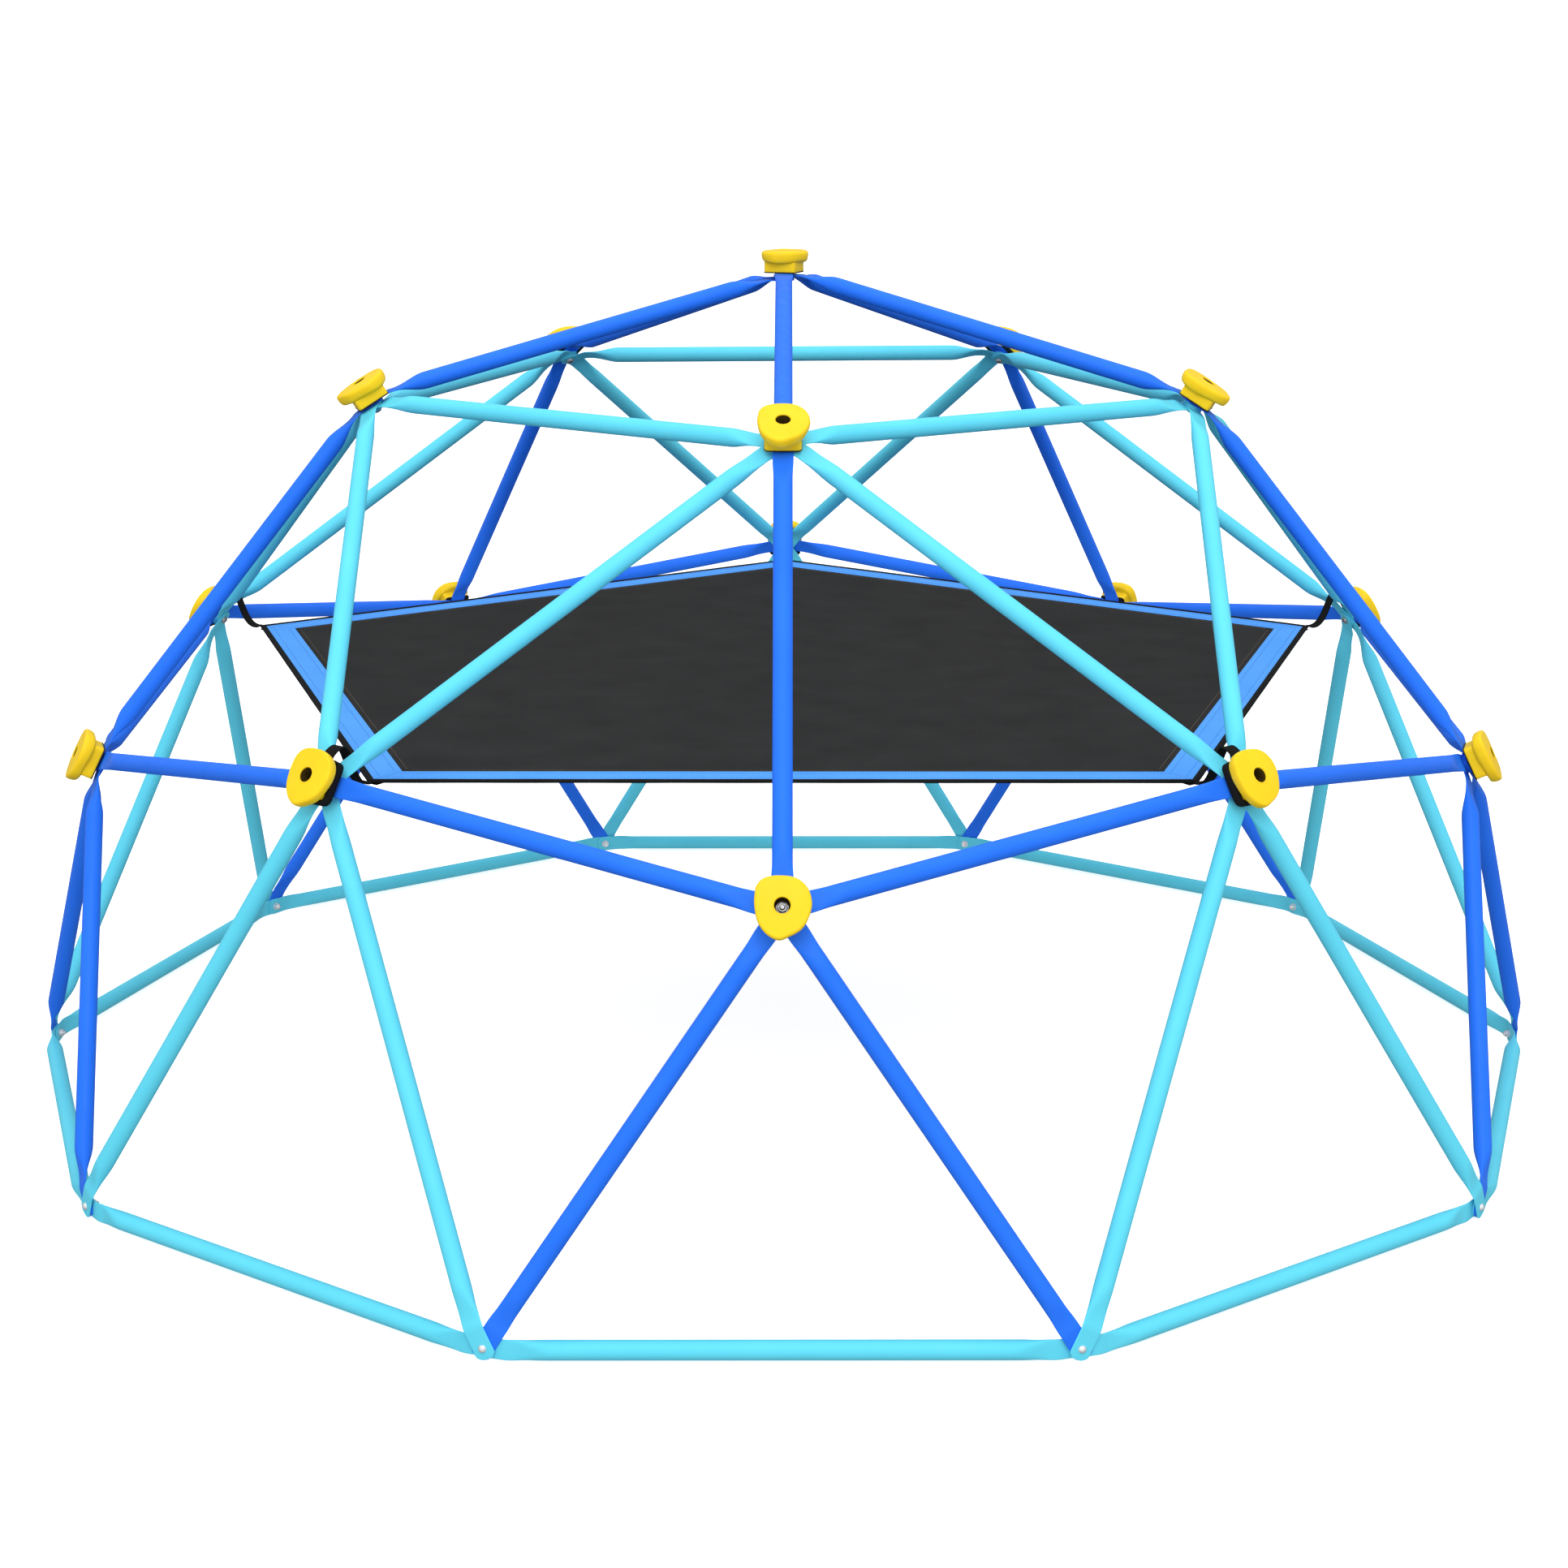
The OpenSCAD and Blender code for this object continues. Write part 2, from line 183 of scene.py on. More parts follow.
def loose_middles(node):
    """The middle of each loose piece of a CAD node."""
    mesh = bmesh.new()
    mesh.from_mesh(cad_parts[node].data)
    bmesh.ops.remove_doubles(mesh, verts=mesh.verts, dist=0.01 * MM)
    seen = set()
    middles = []
    for first in mesh.verts:
        if first in seen:
            continue
        seen.add(first)
        group = [first]
        for vert in group:
            for edge in vert.link_edges:
                other = edge.other_vert(vert)
                if other not in seen:
                    seen.add(other)
                    group.append(other)
        middles.append(sum((v.co for v in group), Vector()) / len(group))
    mesh.free()
    return middles


BASE_Z = 19 * MM
DOME_CENTRE = Vector((0, 0, BASE_Z))


def stack_top(stack):
    """Height of the top of a stack of ends above its middle."""
    return stack * (PLATE_T + FACE_GAP) / 2


def hub_at(middle, offset, stack):
    """The hub whose part at this height above its middle has this middle."""
    normal = unit(middle - DOME_CENTRE)
    level = Vector((normal.x, normal.y, 0)).length < 0.01
    up = Vector((0, 1, 0)) if level else across(Vector((0, 0, 1)), normal)
    return Hub(middle - normal * offset, normal, up, stack)


def azimuth(point):
    """Angle around the dome, from the front."""
    return atan2(point.x, -point.y) % tau


def by_azimuth(hubs):
    return sorted(hubs, key=lambda hub: (azimuth(hub.centre) + 0.01) % tau)


def pad_hub(middle, stack):
    return hub_at(middle, stack_top(stack) + PAD_T * MM / 2, stack)


pad_middles = sorted(loose_middles("grip_pads"), key=lambda p: -p.z)
top_hub = pad_hub(pad_middles[0], TOP_STACK)
upper_hubs = by_azimuth([pad_hub(p, UPPER_STACK) for p in pad_middles[1:6]])
lower = pad_middles[6:]
vertex_hubs = by_azimuth(
    [pad_hub(p, VERTEX_STACK) for p in lower if round(azimuth(p) / HALF_TURN) % 2 == 0])
mid_hubs = by_azimuth(
    [pad_hub(p, MID_STACK) for p in lower if round(azimuth(p) / HALF_TURN) % 2 == 1])
base_hubs = by_azimuth(
    [hub_at(p, -stack_top(BASE_STACK) - WASHER_T * MM / 2, BASE_STACK)
     for p in loose_middles("base_washers")])


# ---------------------------------------------------------------- shapes


class Shape:
    """The points and faces of one piece, gathered before it becomes an object."""

    def __init__(self):
        self.points = []
        self.faces = []
        self.uvs = []

    def sweep(self, rings, caps=True, closed=False, uvs=None):
        """Joins rings of equally many points; closed joins the last ring to the first."""
        start = len(self.points)
        size = len(rings[0])
        for ring in rings:
            self.points.extend(ring)
        if uvs is not None:
            for ring in uvs:
                self.uvs.extend(ring)
        for i in range(len(rings) - (0 if closed else 1)):
            here = start + i * size
            there = start + (i + 1) % len(rings) * size
            for j in range(size):
                k = (j + 1) % size
                self.faces.append((here + j, here + k, there + k, there + j))
        if caps and not closed:
            self.faces.append(tuple(range(start + size - 1, start - 1, -1)))
            last = start + (len(rings) - 1) * size
            self.faces.append(tuple(range(last, last + size)))

    def merge(self, other, matrix):
        """Adds another shape, moved by a matrix."""
        start = len(self.points)
        self.points.extend(matrix @ Vector(p) for p in other.points)
        self.faces.extend(tuple(start + i for i in face) for face in other.faces)
        self.uvs.extend(other.uvs)


def place(hub, offset=0.0, turned=0.0):
    """Millimetres in a hub's frame to metres: +Z out of the dome, +Y up the dome."""
    side = hub.up.cross(hub.normal)
    axes = Matrix((side, hub.up, hub.normal)).transposed().to_4x4()
    spin = Matrix.Rotation(-turned, 4, "Z")
    lift = Matrix.Translation((0, 0, offset))
    return Matrix.Translation(hub.centre) @ axes @ lift @ spin @ Matrix.Scale(MM, 4)


def piece(name, shape, material, nodes=(), body="frame", crease=None):
    """Makes an object of a shape, which rides on a body and stands for CAD nodes."""
    mesh = bpy.data.meshes.new(name)
    mesh.from_pydata([tuple(p) for p in shape.points], [], shape.faces)
    if shape.uvs:
        cloth = mesh.uv_layers.new(name="cloth")
        for loop in mesh.loops:
            cloth.data[loop.index].uv = shape.uvs[loop.vertex_index]
    work = bmesh.new()
    work.from_mesh(mesh)
    bmesh.ops.recalc_face_normals(work, faces=work.faces)
    work.to_mesh(mesh)
    work.free()
    mesh.shade_smooth()
    if crease is not None:
        mesh.set_sharp_from_angle(angle=radians(crease))
    mesh.materials.append(material)
    obj = bpy.data.objects.new(name, mesh)
    bpy.context.scene.collection.objects.link(obj)
    if body is not None:
        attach(obj, body)
    if nodes:
        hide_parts(*nodes)
    return obj


# ---------------------------------------------------------------- materials


class Look:
    """A node material with a Principled shader, and short ways to add to it."""

    def __init__(self, name, roughness, specular=0.5, metallic=0.0):
        self.material = bpy.data.materials.new(name)
        self.material.use_nodes = True
        self.nodes = self.material.node_tree.nodes
        self.links = self.material.node_tree.links
        self.shader = self.nodes["Principled BSDF"]
        self.shader.inputs["Roughness"].default_value = roughness
        self.shader.inputs["Specular IOR Level"].default_value = specular
        self.shader.inputs["Metallic"].default_value = metallic
        self.coords = self.nodes.new("ShaderNodeTexCoord").outputs["Object"]

    def noise(self, scale, detail=3.0, source=None):
        node = self.nodes.new("ShaderNodeTexNoise")
        node.inputs["Scale"].default_value = scale
        node.inputs["Detail"].default_value = detail
        self.links.new(source or self.coords, node.inputs["Vector"])
        return node.outputs["Fac"]

    def spread(self, source, low, high, start=0.3, end=0.7):
        node = self.nodes.new("ShaderNodeMapRange")
        node.inputs["From Min"].default_value = start
        node.inputs["From Max"].default_value = end
        node.inputs["To Min"].default_value = low
        node.inputs["To Max"].default_value = high
        self.links.new(source, node.inputs["Value"])
        return node.outputs["Result"]

    def blend_colours(self, share, first, second):
        node = self.nodes.new("ShaderNodeMix")
        node.data_type = "RGBA"
        for socket, value in (("A", first), ("B", second)):
            target = [i for i in node.inputs if i.name == socket and i.type == "RGBA"][0]
            if isinstance(value, bpy.types.NodeSocket):
                self.links.new(value, target)
            else:
                target.default_value = (*value, 1)
        self.links.new(share, node.inputs["Factor"])
        return [o for o in node.outputs if o.type == "RGBA"][0]

    def maths(self, operation, first, second=None):
        node = self.nodes.new("ShaderNodeMath")
        node.operation = operation
        for socket, value in zip(node.inputs, (first, second)):
            if isinstance(value, bpy.types.NodeSocket):
                self.links.new(value, socket)
            elif value is not None:
                socket.default_value = value
        return node.outputs["Value"]

    def colour(self, source):
        self.links.new(source, self.shader.inputs["Base Color"])

    def rough(self, source):
        self.links.new(source, self.shader.inputs["Roughness"])

    def bump(self, source, distance, strength=1.0, under=None):
        node = self.nodes.new("ShaderNodeBump")
        node.inputs["Strength"].default_value = strength
        node.inputs["Distance"].default_value = distance
        self.links.new(source, node.inputs["Height"])
        if under is not None:
            self.links.new(under, node.inputs["Normal"])
        self.links.new(node.outputs["Normal"], self.shader.inputs["Normal"])
        return node.outputs["Normal"]

    def cloth(self):
        """The two directions along a woven piece, in metres."""
        uv = self.nodes.new("ShaderNodeUVMap")
        uv.uv_map = "cloth"
        split = self.nodes.new("ShaderNodeSeparateXYZ")
        self.links.new(uv.outputs["UV"], split.inputs["Vector"])
        return uv.outputs["UV"], split.outputs["X"], split.outputs["Y"]

    def weave(self, along, over, pitch_along, pitch_over):
        """Height of a plain weave, from 0 to 1."""
        first = self.maths("SINE", self.maths("MULTIPLY", along, tau / pitch_along))
        second = self.maths("SINE", self.maths("MULTIPLY", over, tau / pitch_over))
        return self.maths("MULTIPLY_ADD", self.maths("MULTIPLY", first, second), 0.5)


def painted(name, main, deep, pale):
    """Powder coat: fine orange peel, with a slow drift of tone and gloss."""
    look = Look(name, 0.42, specular=0.12)
    drift = look.spread(look.noise(7, 2), 0, 1)
    speckle = look.spread(look.noise(420, 2), 0, 1)
    tone = look.blend_colours(drift, main, deep)
    look.colour(look.blend_colours(look.maths("MULTIPLY", speckle, 0.12), tone, pale))
    look.rough(look.spread(look.noise(60, 3), 0.36, 0.5))
    look.bump(look.noise(650, 2), 0.0001, 0.35)
    return look.material


def moulded_plastic():
    """Climbing-hold plastic: satin, with a fine cast grain."""
    look = Look("grip_yellow", 0.48, specular=0.22)
    look.shader.inputs["Subsurface Weight"].default_value = 0.05
    look.shader.inputs["Subsurface Radius"].default_value = (0.004, 0.003, 0.001)
    drift = look.spread(look.noise(18, 3), 0, 1)
    look.colour(look.blend_colours(drift, (0.96, 0.66, 0.010), (0.94, 0.61, 0.008)))
    look.rough(look.spread(look.noise(90, 3), 0.36, 0.5))
    grain = look.bump(look.noise(900, 3), 0.0001, 0.5)
    look.bump(look.noise(110, 2), 0.0003, 0.25, under=grain)
    return look.material


def paint_recess_shade():
    """Painted shade for the inside of a grip's recess: near-black browns standing in for the shade of the
    deep hole, mottled at random.
    """
    look = Look("recess_painted_shade", 0.8, specular=0.1)
    # Painted shade: a random mottle between two near-black browns, not dirt
    shade_mottle = look.spread(look.noise(240, 4), 0, 1)
    look.colour(look.blend_colours(shade_mottle, (0.085, 0.050, 0.006), (0.045, 0.030, 0.006)))
    look.bump(look.noise(800, 3), 0.0001, 0.5)
    return look.material


def zinc(name, bright, dull):
    """Zinc plate with a faint grain and dulled patches."""
    look = Look(name, 0.4, metallic=0.85)
    patches = look.spread(look.noise(160, 4), 0, 1)
    look.colour(look.blend_colours(patches, bright, dull))
    look.rough(look.spread(look.noise(300, 3), 0.3, 0.5))
    look.bump(look.noise(1400, 2), 0.00005, 0.4)
    return look.material


def black_rubber():
    """Soft black rubber with a fine grain and a little dust."""
    look = Look("pad_black", 0.75, specular=0.25)
    dust = look.spread(look.noise(70, 4), 0, 1)
    look.colour(look.blend_colours(dust, (0.010, 0.010, 0.010), (0.022, 0.022, 0.021)))
    look.rough(look.spread(look.noise(200, 3), 0.65, 0.85))
    look.bump(look.noise(1100, 3), 0.00012, 0.6)
    return look.material


def woven(name, first, second, pitch, depth, roughness, drift_share=0.5, ribbed=False):
    """Woven cloth: each thread a little lighter on its crown, which is a painted highlight, with a slow
    drift of tone.
    """
    look = Look(name, roughness, specular=0.04)
    uv, along, over = look.cloth()
    threads = look.weave(along, over, pitch, pitch * (0.55 if ribbed else 1.0))
    drift = look.spread(look.noise(9, 4, source=uv), 0, drift_share)
    fibres = look.spread(look.noise(520, 3, source=uv), 0, 1)
    worn = look.blend_colours(drift, first, second)
    # Painted highlight: the crown of each thread is lightened towards the second colour
    crown_highlight = look.maths("MULTIPLY", threads, 0.35)
    look.colour(look.blend_colours(crown_highlight, worn, second))
    look.rough(look.spread(fibres, roughness - 0.06, roughness + 0.08, 0, 1))
    fuzz = look.bump(fibres, depth * 0.4, 0.5)
    look.bump(threads, depth, 0.8, under=fuzz)
    return look.material


BLUE = painted("coat_blue", (0.020, 0.180, 0.95), (0.017, 0.165, 0.90), (0.04, 0.23, 1.0))
CYAN = painted("coat_cyan", (0.125, 0.70, 0.90), (0.110, 0.66, 0.87), (0.20, 0.78, 0.95))
YELLOW = moulded_plastic()
# The same zinc twice: a bright copy for the base fasteners, and a darker copy of it, painted shade, for
# the fasteners at the grips and in their recesses
ZINC_BRIGHT = zinc("zinc_bright", (0.92, 0.92, 0.94), (0.78, 0.78, 0.80))
ZINC_SHADED = zinc("zinc_painted_shade", (0.46, 0.46, 0.47), (0.30, 0.30, 0.31))
# Painted shade for the inside of the grips' recesses
RECESS_SHADE_LOOK = paint_recess_shade()
RUBBER = black_rubber()
FABRIC = woven("mat_charcoal", (0.022, 0.022, 0.022), (0.040, 0.040, 0.040),
               1.6 * MM, 0.25 * MM, 0.78)
BORDER = woven("border_light_blue", (0.085, 0.36, 1.0), (0.13, 0.43, 1.0),
               1.1 * MM, 0.12 * MM, 0.6)
WEBBING = woven("webbing_black", (0.007, 0.007, 0.007), (0.017, 0.017, 0.016),
                3.0 * MM, 0.35 * MM, 0.7, ribbed=True)
THREAD_BLUE = woven("thread_blue", (0.025, 0.13, 0.52), (0.04, 0.17, 0.62),
                    0.8 * MM, 0.05 * MM, 0.6)
THREAD_TAN = woven("thread_tan", (0.16, 0.12, 0.085), (0.24, 0.18, 0.13),
                   0.8 * MM, 0.05 * MM, 0.6)


# ---------------------------------------------------------------- struts


def oval(half_w, half_t, power, side, thick, centre):
    """A ring between a flat rounded bar, at a high power, and a circle, at power 2."""
    ring = []
    for i in range(STRUT_POINTS):
        angle = tau * i / STRUT_POINTS
        x = abs(cos(angle)) ** (2 / power) * (1 if cos(angle) >= 0 else -1)
        y = abs(sin(angle)) ** (2 / power) * (1 if sin(angle) >= 0 else -1)
        ring.append(centre + side * (half_w * x) + thick * (half_t * y))
    return ring


def tip_half_width(back):
    """Half the width of an end at a distance back from its tip: a flat, then a cut corner."""
    cut = TIP_FLAT + back - TIP_ROUND * 0.35 * max(0.0, 1 - back / (TIP_ROUND * 0.4)) ** 2
    gap = (END_R - cut) / TIP_ROUND
    if gap >= 1:
        return cut
    if gap <= -1:
        return END_R
    return END_R - TIP_ROUND * (gap + 1) ** 2 / 4


def strut_end(bolt, normal, run, axis, mirrored):
    """Rings from the tip of a flattened end, round its bend, to the round tube."""
    rings = []
    sign = -1 if mirrored else 1

    def add(centre, along, half_w, half_t, power):
        thick = across(normal, along)
        side = along.cross(thick) * sign
        rings.append(oval(half_w, half_t, power, side, thick, centre))

    tip_steps = 12
    for i in range(tip_steps):
        back = TIP_REACH * i / tip_steps
        half_w = tip_half_width(back)
        edge = min(1.0, 0.7 + 0.2 * i)
        add(bolt - run * (TIP_REACH - back), run, half_w, PLATE_T / 2 * edge, FLAT_POWER)
    knee = bolt + run * END_FLAT
    bend_steps = 6
    for i in range(bend_steps + 1):
        t = i / bend_steps
        centre = (1 - t) ** 2 * (knee - run * BEND) + 2 * t * (1 - t) * knee + t * t * (knee + axis * BEND)
        along = unit((1 - t) * run + t * axis)
        add(centre, along, END_R, PLATE_T / 2, FLAT_POWER)
    taper_steps = 14
    for i in range(1, taper_steps + 1):
        share = i / taper_steps
        grown = smooth(share)
        narrowed = smooth(min(1.0, share * WIDTH_HASTE))
        add(knee + axis * mix(BEND, TAPER, share), axis, mix(END_R, TUBE_R, narrowed),
            mix(PLATE_T / 2, TUBE_R, grown), mix(FLAT_POWER, 2, grown ** 0.4))
    return rings


def add_strut(shape, p, q, place_p, place_q):
    """A strut between two hubs; place 1 in a hub's stack is the outermost."""
    def level(hub, where):
        return ((hub.stack + 1) / 2 - where) * (PLATE_T + FACE_GAP)

    bolt_p = p.centre + p.normal * level(p, place_p)
    bolt_q = q.centre + q.normal * level(q, place_q)
    run_p = across(bolt_q - bolt_p, p.normal)
    run_q = across(bolt_p - bolt_q, q.normal)
    axis = unit((bolt_q + run_q * END_FLAT) - (bolt_p + run_p * END_FLAT))
    near = strut_end(bolt_p, p.normal, run_p, axis, False)
    far = strut_end(bolt_q, q.normal, run_q, -axis, True)
    shape.sweep(near + far[::-1])


def strut_piece(node, struts, material):
    shape = Shape()
    for strut in struts:
        add_strut(shape, *strut)
    piece(f"{node}_tube", shape, material, nodes=[node], crease=50)


def hub_of(hubs, k):
    """Hub k of a ring, counted from 1 and going round."""
    return hubs[(k - 1) % len(hubs)]


for k in range(1, SIDES + 1):
    upper = hub_of(upper_hubs, k)
    vertex = hub_of(vertex_hubs, k)
    mid = hub_of(mid_hubs, k)
    before = hub_of(mid_hubs, k - 1)
    strut_piece(f"apex_strut_{k}", [(top_hub, upper, k, 1)], BLUE)
    strut_piece(f"upper_strut_{k}", [(upper, vertex, 2, 1)], BLUE)
    strut_piece(f"top_ring_strut_{k}", [(upper, hub_of(upper_hubs, k + 1), 4, 6)], CYAN)
    strut_piece(f"upper_brace_pair_{k}", [(upper, mid, 3, 3), (upper, before, 5, 5)], CYAN)
    strut_piece(f"band_strut_pair_{k}", [(vertex, mid, 2, 1), (vertex, before, 4, 2)], BLUE)
    strut_piece(f"vertex_leg_pair_{k}",
                [(vertex, hub_of(base_hubs, 2 * k - 1), 3, 2),
                 (vertex, hub_of(base_hubs, 2 * k - 2), 5, 2)], BLUE)
    strut_piece(f"brace_leg_pair_{k}",
                [(mid, hub_of(base_hubs, 2 * k - 1), 4, 1),
                 (mid, hub_of(base_hubs, 2 * k), 6, 1)], CYAN)
    strut_piece(f"base_rail_pair_{k}",
                [(hub_of(base_hubs, j), hub_of(base_hubs, j + 1), 3, 4)
                 for j in (k - 1, k - 1 + SIDES)], CYAN)


# ---------------------------------------------------------------- grips and pads


def neck_radius(angle, grow=0.0):
    """Distance from the middle to the outline of a grip's rounded square neck."""
    half = NECK_W / 2 + grow
    corner = NECK_CORNER + grow
    inner = half - corner
    s, c = abs(sin(angle)), abs(cos(angle))
    flat = half / max(s, c)
    if flat * min(s, c) <= inner:
        return flat
    return inner * (s + c) + sqrt((inner * (s + c)) ** 2 - (2 * inner ** 2 - corner ** 2))


# A grip's outline from the front: degrees from the top, clockwise, and millimetres from the bolt
HEAD_OUTLINE = ((0, 47.6), (31, 48.8), (53, 48.4), (82, 46.2), (113, 44.4), (140, 46.6), (166, 48.4),
                (186, 53.0), (203, 51.0), (230, 46.2), (260, 42.8), (289, 45.6), (308, 50.9),
                (323, 52.4), (341, 49.8))


def head_radius(angle):
    """Outline of a grip's head: a smooth closed curve through its points."""
    at = angle * 180 / pi % 360
    count = len(HEAD_OUTLINE)
    i = max(j for j in range(count) if HEAD_OUTLINE[j][0] <= at)
    near = [HEAD_OUTLINE[(i + j) % count] for j in (-1, 0, 1, 2)]
    spots = [a + 360 * ((i + j) // count) for j, (a, _) in zip((-1, 0, 1, 2), near)]
    (_, r0), (_, r1), (_, r2), (_, r3) = near
    span = spots[2] - spots[1]
    slope1 = (r2 - r0) / (spots[2] - spots[0]) * span
    slope2 = (r3 - r1) / (spots[3] - spots[1]) * span
    t = (at - spots[1]) / span
    return ((2 * t ** 3 - 3 * t ** 2 + 1) * r1 + (t ** 3 - 2 * t ** 2 + t) * slope1
            + (3 * t ** 2 - 2 * t ** 3) * r2 + (t ** 3 - t ** 2) * slope2)


def grip_shapes():
    """A moulded grip with z = 0 on its pad, and a dark sheet of painted shade inside its recess."""
    angles = [tau * i / GRIP_POINTS for i in range(GRIP_POINTS)]

    def ring(radius, height):
        return [(radius(a) * sin(a), radius(a) * cos(a), height(a)) for a in angles]

    def low(a):
        return ((1 - cos(a)) / 2) ** 3

    def under(a):
        return NECK_H - 1.6 + 1.3 * cos(3 * a + 0.5)

    def over(a):
        return GRIP_TOP - 2.6 - 0.6 * low(a) + 0.6 * cos(2 * a - 0.4) + 0.4 * sin(3 * a)

    def edge(a):
        return min(7.5, 0.8 * (head_radius(a) - neck_radius(a)) + 3)

    bevel = 0.8
    rings = [ring(lambda a: BORE_R, lambda a: 0)]
    for grow, height in ((-bevel, 0), (-bevel * 0.3, bevel * 0.3), (0, bevel)):
        rings.append(ring(lambda a: neck_radius(a, grow), lambda a: height))
    for share in (0.3, 0.6, 0.8, 0.92):
        rings.append(ring(neck_radius, lambda a: mix(bevel, under(a) - 1.5, share)))
    for share in (0.15, 0.35, 0.6, 0.8):
        rings.append(ring(lambda a: mix(neck_radius(a), head_radius(a) - edge(a) * 0.7, share),
                          lambda a: under(a) - 1.5 * (1 - share) ** 3))
    rim_steps = 16
    for i in range(rim_steps + 1):
        phi = radians(mix(-80, 86, i / rim_steps))
        swell = abs(cos(phi)) ** 0.55
        rise = (1 + abs(sin(phi)) ** 0.8 * (1 if phi >= 0 else -1)) / 2
        rings.append(ring(lambda a: head_radius(a) - edge(a) * (1 - swell) - 2.6 * (1 - rise) ** 1.4,
                          lambda a: mix(under(a), over(a), rise)))
    lip_r = 15.6
    for share in (0.08, 0.2, 0.35, 0.52, 0.7, 0.86, 1.0):
        rings.append(ring(lambda a: mix(head_radius(a) - edge(a), lip_r, share),
                          lambda a: mix(over(a), GRIP_TOP - 0.7, 1 - (1 - share) ** 1.7)))
    for radius, height in ((15.2, GRIP_TOP - 0.7), (14.7, GRIP_TOP - 0.1), (14.1, GRIP_TOP),
                           (13.4, GRIP_TOP - 0.1), (12.8, GRIP_TOP - 0.6), (RECESS_R, GRIP_TOP - 1.6),
                           (RECESS_R, RECESS_FLOOR), (BORE_R, RECESS_FLOOR)):
        rings.append(ring(lambda a: radius, lambda a: height))
    grip = Shape()
    grip.sweep(rings, closed=True)
    # A thin sheet just inside the recess wall and floor; it is painted shade, standing in for the shade of
    # the deep hole
    shade_sheet = Shape()
    gap = 0.06
    inner = RECESS_R - gap
    shade_sheet.sweep([ring(lambda a: radius, lambda a: height) for radius, height in (
        (inner, RECESS_FLOOR + gap), (inner, GRIP_TOP - 2.2), (inner - 0.35, GRIP_TOP - 2.6),
        (inner - 0.5, RECESS_FLOOR + 0.5), (GRIP_WASHER_R + 0.2, RECESS_FLOOR + 0.5),
        (GRIP_WASHER_R + 0.2, RECESS_FLOOR + gap))], closed=True)
    return grip, shade_sheet


def pad_shape():
    """A rubber pad under a grip, with rounded edges, standing on the stack."""
    angles = [tau * i / GRIP_POINTS for i in range(GRIP_POINTS)]
    rings = []
    for grow, height in ((None, 0), (PAD_RIM - 0.5, 0), (PAD_RIM, 0.5), (PAD_RIM, PAD_T - 0.5),
                         (PAD_RIM - 0.5, PAD_T), (None, PAD_T)):
        radius = (lambda a: BORE_R) if grow is None else (lambda a, g=grow: neck_radius(a, g))
        rings.append([(radius(a) * sin(a), radius(a) * cos(a), height) for a in angles])
    shape = Shape()
    shape.sweep(rings, closed=True)
    return shape


GRIP, RECESS_SHADE_SHEET = grip_shapes()
PAD = pad_shape()


def grip_piece(node, hubs, turned=0.0):
    shape = Shape()
    for hub in hubs:
        shape.merge(GRIP, place(hub, stack_top(hub.stack) + PAD_T * MM, turned))
    piece(f"{node}_moulded", shape, YELLOW, nodes=[node], crease=60)


grip_piece("apex_grip", [top_hub], APEX_TURN)
grip_piece("upper_grips", upper_hubs)
grip_piece("vertex_grips", vertex_hubs)
grip_piece("mid_grips", mid_hubs)

grip_hubs = [top_hub, *upper_hubs, *vertex_hubs, *mid_hubs]
# Sheets of painted shade inside every grip's recess, standing in for the shade of the deep hole
recess_shade_sheets = Shape()
for hub in grip_hubs:
    recess_shade_sheets.merge(RECESS_SHADE_SHEET, place(hub, stack_top(hub.stack) + PAD_T * MM))
piece("grip_recess_painted_shade", recess_shade_sheets, RECESS_SHADE_LOOK, crease=40)

pads = Shape()
for hub in grip_hubs:
    pads.merge(PAD, place(hub, stack_top(hub.stack), APEX_TURN if hub is top_hub else 0.0))
piece("grip_pads_rubber", pads, RUBBER, nodes=["grip_pads"], crease=40)


# ---------------------------------------------------------------- fasteners


def turned_rings(profile, points=FASTENER_POINTS):
    """Rings of a profile of (radius, height), where a radius may depend on the angle."""
    rings = []
    for radius, height in profile:
        ring = []
        for i in range(points):
            angle = tau * i / points
            r = radius(angle) if callable(radius) else radius
            ring.append((r * cos(angle), r * sin(angle), height))
        rings.append(ring)
    return rings


def hexagon(across_flats):
    """Radius of a hexagon at an angle."""
    def radius(angle):
        return across_flats / 2 / cos((angle % (pi / 3)) - pi / 6)
    return radius


def chamfered(across_flats, circle):
    """A hexagon cut back to a circle, as a nut's chamfer leaves it."""
    outline = hexagon(across_flats)
    return lambda angle: min(outline(angle), circle)


def nut_shape():
    corner = NUT_AF / 2 / cos(pi / 6)
    depth = 0.9
    chamfer = [(mix(NUT_AF / 2 * 0.96, corner, t), depth * t) for t in (0, 0.25, 0.5, 0.75, 1)]
    outside = [(chamfered(NUT_AF, r), z) for r, z in chamfer]
    outside += [(chamfered(NUT_AF, r), NUT_H - z) for r, z in reversed(chamfer)]
    bore = [(BOLT_R + 0.6, NUT_H), (BOLT_R + 0.1, NUT_H - 0.6), (BOLT_R + 0.1, 0.6), (BOLT_R + 0.6, 0)]
    shape = Shape()
    shape.sweep(turned_rings(outside + bore), closed=True)
    return shape


def washer_shape(outer):
    bevel = 0.25
    profile = [(BORE_R, 0), (outer - bevel, 0), (outer, bevel), (outer, WASHER_T - bevel),
               (outer - bevel, WASHER_T), (BORE_R, WASHER_T)]
    shape = Shape()
    shape.sweep(turned_rings(profile), closed=True)
    return shape


